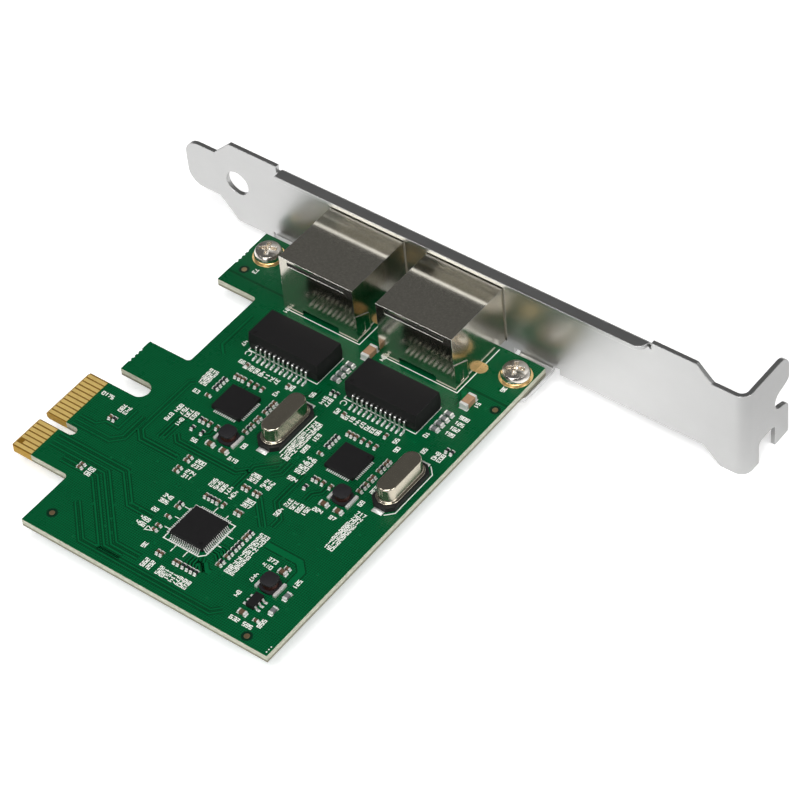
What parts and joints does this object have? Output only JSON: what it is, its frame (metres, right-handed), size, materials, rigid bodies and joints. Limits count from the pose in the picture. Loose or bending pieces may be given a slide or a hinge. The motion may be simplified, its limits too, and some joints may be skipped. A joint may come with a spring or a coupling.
{
  "type": "network interface card",
  "caption": "Network interface card for a short expansion slot: green circuit board with keyed contact tongue, folded steel bracket, shielded modular jacks, chips and crystals.",
  "frame": {"origin": "centreline of the key notch at the outer edge of the contact tongue, in the middle of the board", "axes": "+X from the bracket to the free end of the card, +Y away from the slot, +Z out of the component side"},
  "size_m": [0.0912, 0.12, 0.0218],
  "materials": {
    "board": "glass-cloth laminate under green solder mask",
    "gold": "gold plating, bright",
    "bracket": "zinc-plated sheet, satin",
    "screws": "nickel plating, bright",
    "shield": "nickel-plated sheet, near mirror",
    "insert": "moulded, matt",
    "lights": "clear tinted bar",
    "moulding": "moulded epoxy, satin",
    "leads": "tin plating and solder",
    "chips": "moulded epoxy, matt",
    "cans": "drawn metal, satin",
    "bases": "moulded, matt",
    "cores": "sintered ferrite, matt",
    "windings": "enamelled copper wire",
    "ceramic": "fired ceramic, tan",
    "film": "black glazed film on ceramic"
  },
  "bodies": {
    "root": {"circuit_board": "board", "edge_contacts_front": "gold", "edge_contacts_back": "gold", "bracket": "bracket", "bracket_screws": "screws", "jack_shell_1": "shield", "jack_shell_2": "shield", "jack_housing_1": "insert", "jack_housing_2": "insert", "jack_contacts_1": "gold", "jack_contacts_2": "gold", "jack_lights_1": "lights", "jack_lights_2": "lights", "transformer_body_1": "moulding", "transformer_body_2": "moulding", "transformer_leads_1": "leads", "transformer_leads_2": "leads", "controller_chip_1": "chips", "controller_chip_2": "chips", "bridge_chip": "chips", "bridge_leads": "leads", "regulator_body": "chips", "regulator_leads": "leads", "crystal_can_1": "cans", "crystal_can_2": "cans", "crystal_base_1": "bases", "crystal_base_2": "bases", "crystal_pads_1": "leads", "crystal_pads_2": "leads", "inductor_cores": "cores", "inductor_windings": "windings", "inductor_ends": "leads", "small_capacitors": "ceramic", "small_resistors": "film", "medium_capacitor_bodies": "ceramic", "medium_capacitor_ends": "leads", "film_resistor_bodies": "film", "film_resistor_ends": "leads", "large_capacitor_bodies": "ceramic", "large_capacitor_ends": "leads"}
  },
  "joints": []
}
